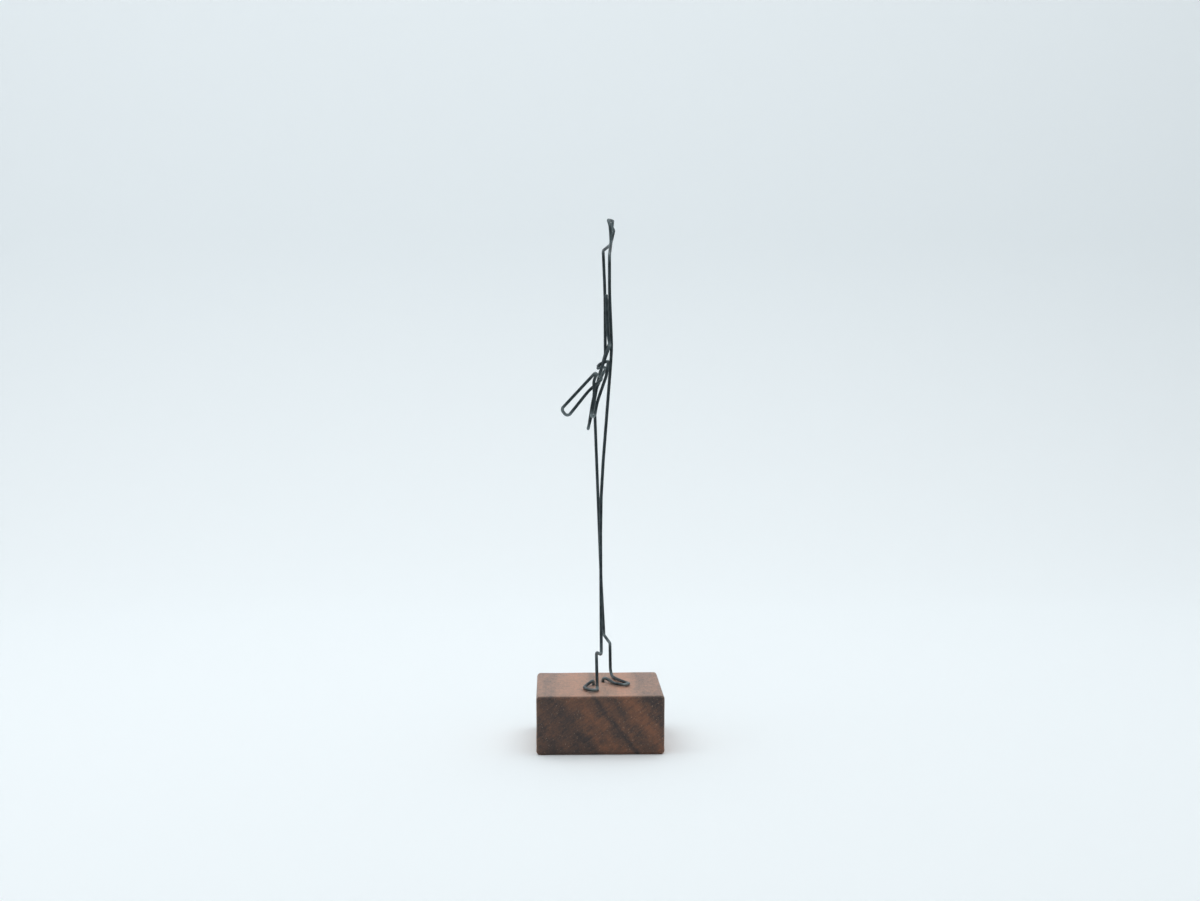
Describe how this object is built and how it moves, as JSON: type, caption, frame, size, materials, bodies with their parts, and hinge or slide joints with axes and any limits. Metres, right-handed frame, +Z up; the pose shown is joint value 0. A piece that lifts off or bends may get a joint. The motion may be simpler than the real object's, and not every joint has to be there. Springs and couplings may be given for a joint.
{
  "type": "wire figure sculpture",
  "caption": "Slender standing figure bent from thin dark steel wire, with hairpin hands and looped feet, set in drilled holes in a small square oiled hardwood block.",
  "frame": {"origin": "centre of the block's underside", "axes": "+Z up, the figure faces -X, its left side lies towards -Y"},
  "size_m": [0.06, 0.06, 0.2515],
  "materials": {
    "wood": "oiled, satin",
    "steel_wire": "blackened, satin"
  },
  "bodies": {
    "root": {"wood_block": "wood", "body_wire": "steel_wire", "left_arm_wire": "steel_wire", "right_arm_wire": "steel_wire"}
  },
  "joints": []
}
